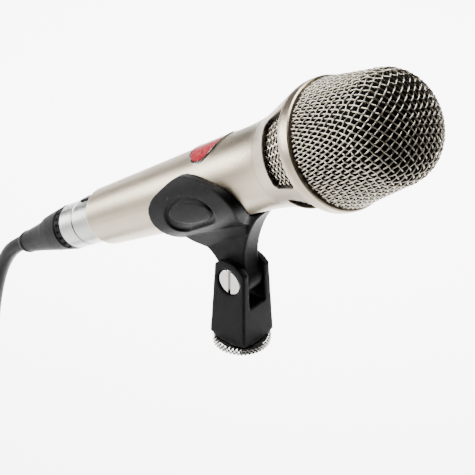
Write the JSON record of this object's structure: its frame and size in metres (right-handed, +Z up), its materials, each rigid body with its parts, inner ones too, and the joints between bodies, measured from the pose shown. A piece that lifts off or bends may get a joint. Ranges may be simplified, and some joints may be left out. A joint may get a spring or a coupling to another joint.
{
  "type": "dynamic microphone",
  "caption": "Handheld vocal microphone with a woven wire head and vented collar, resting in a tilting stand clip, with its signal lead plugged in.",
  "frame": {"origin": "centre of the stand thread's mouth, on the lower face of the knurled adapter", "axes": "+Z up along the stand's axis; +X is the level direction in which the head points; the clip's pivot runs along Y"},
  "size_m": [0.3184, 0.0922, 0.4656],
  "materials": {
    "nickel_adapter": "bright nickel, knurled rim",
    "black_nylon": "fine-textured moulded nylon",
    "bright_screw": "polished nickel plate",
    "champagne_body": "satin nickel-champagne lacquer on metal",
    "champagne_mesh": "woven wire, champagne nickel",
    "black_steel": "black finish",
    "red_enamel": "glossy enamel",
    "steel_bezel": "fine brushed",
    "fine_black_mesh": "blackened fine wire cloth",
    "black_cloth": "acoustic cloth",
    "black_foam": "open-cell foam",
    "capsule_alloy": "machined",
    "magnet_grey": "nickel-plated magnet",
    "soft_iron": "zinc-plated soft iron",
    "coil_copper": "enamelled copper wire",
    "diaphragm_film": "clear polyester film",
    "grey_felt": "felt",
    "soft_rubber": "moulded rubber",
    "wire_insulation": "PVC insulation",
    "board_green": "solder-masked laminate",
    "insert_black": "glass-filled nylon",
    "pin_gold": "gold-flashed brass",
    "plug_nickel": "turned satin nickel",
    "boot_black": "moulded elastomer",
    "lead_jacket": "matt PVC jacket",
    "tie_fabric": "hook-and-loop tape"
  },
  "bodies": {
    "stand_mount": {"stand_adapter": "nickel_adapter"},
    "base": {"clip_base": "black_nylon", "pivot_nut": "bright_screw"},
    "screw": {"pivot_screw": "bright_screw"},
    "cradle": {"clip_cradle": "black_nylon"},
    "microphone": {"handle_shell": "champagne_body", "insert_screw": "black_steel", "badge_enamel": "red_enamel", "badge_bezel": "steel_bezel", "capsule_housing": "capsule_alloy", "magnet_yoke": "soft_iron", "capsule_magnet": "magnet_grey", "pole_piece": "soft_iron", "voice_coil": "coil_copper", "capsule_felt": "grey_felt", "diaphragm": "diaphragm_film", "capsule_cap": "capsule_alloy", "capsule_carrier": "capsule_alloy", "shock_mount": "soft_rubber", "capsule_wires": "wire_insulation", "transformer_can": "magnet_grey", "transformer_core": "soft_iron", "transformer_winding": "coil_copper", "can_cushion": "black_foam", "output_board": "board_green", "output_wires": "wire_insulation", "socket_insert": "insert_black", "socket_pins": "pin_gold"},
    "head": {"head_shell": "champagne_body", "vent_mesh": "champagne_mesh", "vent_cloth": "black_cloth", "outer_grille": "champagne_mesh", "fine_mesh": "fine_black_mesh", "foam_liner": "black_foam", "basket_ring": "black_steel"},
    "lead": {"plug_shell": "plug_nickel", "plug_insert": "insert_black", "plug_contacts": "pin_gold", "plug_chuck": "insert_black", "plug_boot": "boot_black", "lead_core": "lead_jacket", "lead_hanging": "lead_jacket", "lead_coil": "lead_jacket", "lead_free_end": "lead_jacket", "coil_tie": "tie_fabric", "line_plug_boot": "boot_black", "line_plug_shell": "plug_nickel", "line_plug_insert": "insert_black", "line_plug_pins": "pin_gold"},
    "latch": {"latch_button": "black_nylon"}
  },
  "joints": [
    {"name": "stand_swivel", "type": "hinge", "parent": "stand_mount", "child": "base", "pos_m": [0, 0, 0], "axis": [0, 0, 1], "continuous": true},
    {"name": "screw_turn", "type": "hinge", "parent": "base", "child": "screw", "pos_m": [0, 0, 0.0305], "axis": [0, -1, 0], "range_deg": [-360, 0]},
    {"name": "clip_tilt", "type": "hinge", "parent": "base", "child": "cradle", "pos_m": [0, 0, 0.0305], "axis": [0, -1, 0], "range_deg": [-85, 55]},
    {"name": "microphone_slide", "type": "slide", "parent": "cradle", "child": "microphone", "axis": [0.8192, 0, 0.5736], "range_m": [0, 0.06]},
    {"name": "head_unscrew", "type": "hinge", "parent": "microphone", "child": "head", "pos_m": [0.02214, 0, 0.09093], "axis": [0.8192, 0, 0.5736], "range_deg": [0, 360]},
    {"name": "plug_unplug", "type": "slide", "parent": "microphone", "child": "lead", "axis": [-0.8192, 0, -0.5736], "range_m": [0, 0.015]},
    {"name": "latch_press", "type": "slide", "parent": "lead", "child": "latch", "axis": [0.5736, 0, -0.8192], "range_m": [0, 0.0009], "stiffness_N_per_m": 500}
  ]
}
